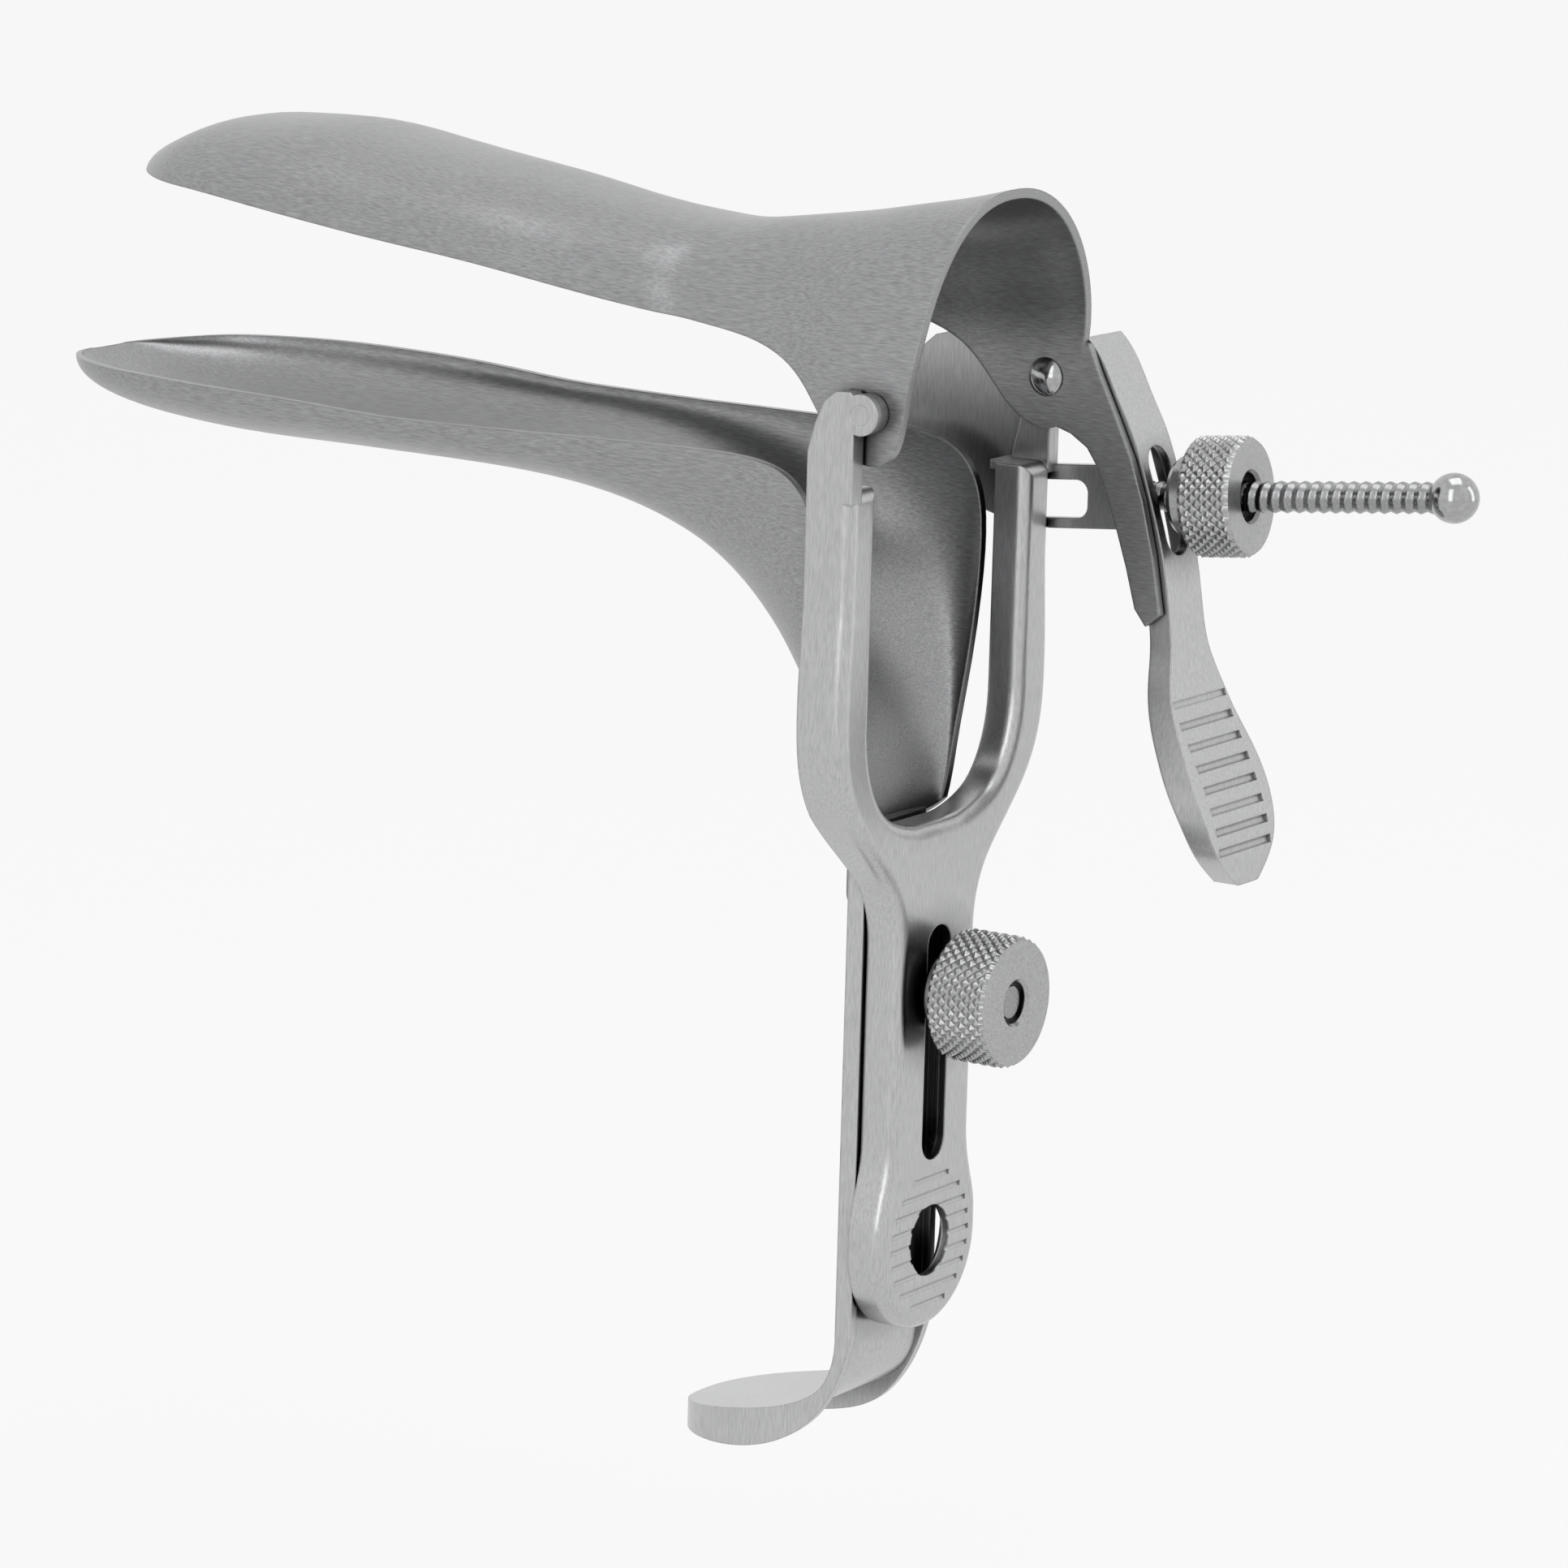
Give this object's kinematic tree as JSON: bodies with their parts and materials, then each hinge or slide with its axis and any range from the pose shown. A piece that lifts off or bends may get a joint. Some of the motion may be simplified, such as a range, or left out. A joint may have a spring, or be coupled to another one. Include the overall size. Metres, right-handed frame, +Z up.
{
  "type": "bivalve speculum",
  "caption": "Hinged surgical speculum with a flared upper blade, sliding lower blade on a slotted forked handle, thumb lever and knurled locking nuts.",
  "frame": {"origin": "on the axis of the finger hole, in the front face of the finger plate", "axes": "+X along the blade hinge toward the thumb lever, +Y from the handle toward the blade tips, +Z up along the stem"},
  "size_m": [0.0569, 0.1871, 0.1601],
  "materials": {
    "frame_steel": "satin stainless steel, brightened on bent edges",
    "blade_steel": "fine matt-satin stainless steel with bright rims",
    "nut_steel": "diamond-knurled band, satin faces",
    "screw_steel": "machined thread",
    "polished_steel": "polished stainless steel"
  },
  "bodies": {
    "frame": {"yoke": "frame_steel", "screw_bracket": "frame_steel", "bracket_rivet": "polished_steel", "side_screw": "screw_steel", "screw_ball": "polished_steel", "pivot_rivet_left": "frame_steel", "pivot_rivet_right": "polished_steel"},
    "blade": {"upper_blade": "blade_steel", "thumb_lever": "frame_steel"},
    "side_nut_body": {"side_nut": "nut_steel"},
    "slider": {"lower_blade": "blade_steel", "slide_bar": "frame_steel", "bar_rivet": "polished_steel", "stem_stud": "screw_steel"},
    "stem_nut_body": {"stem_nut": "nut_steel"}
  },
  "joints": [
    {"name": "blade_hinge", "type": "hinge", "parent": "frame", "child": "blade", "pos_m": [0, -0.0008, 0.106], "axis": [1, 0, 0], "range_deg": [-10, 8]},
    {"name": "side_nut_travel", "type": "slide", "parent": "frame", "child": "side_nut_body", "axis": [0.1041, -0.9901, 0.0941], "range_m": [-0.0032, 0.004]},
    {"name": "blade_slide", "type": "slide", "parent": "frame", "child": "slider", "axis": [0, 0, 1], "range_m": [-0.019, 0.0055]},
    {"name": "stem_nut_turn", "type": "hinge", "parent": "slider", "child": "stem_nut_body", "pos_m": [0, -0.0058, 0.0319], "axis": [0, -1, 0], "continuous": true}
  ],
  "couplings": [
    {"joint": "side_nut_travel", "follows": "blade_hinge", "m_per_rad": -0.022}
  ]
}
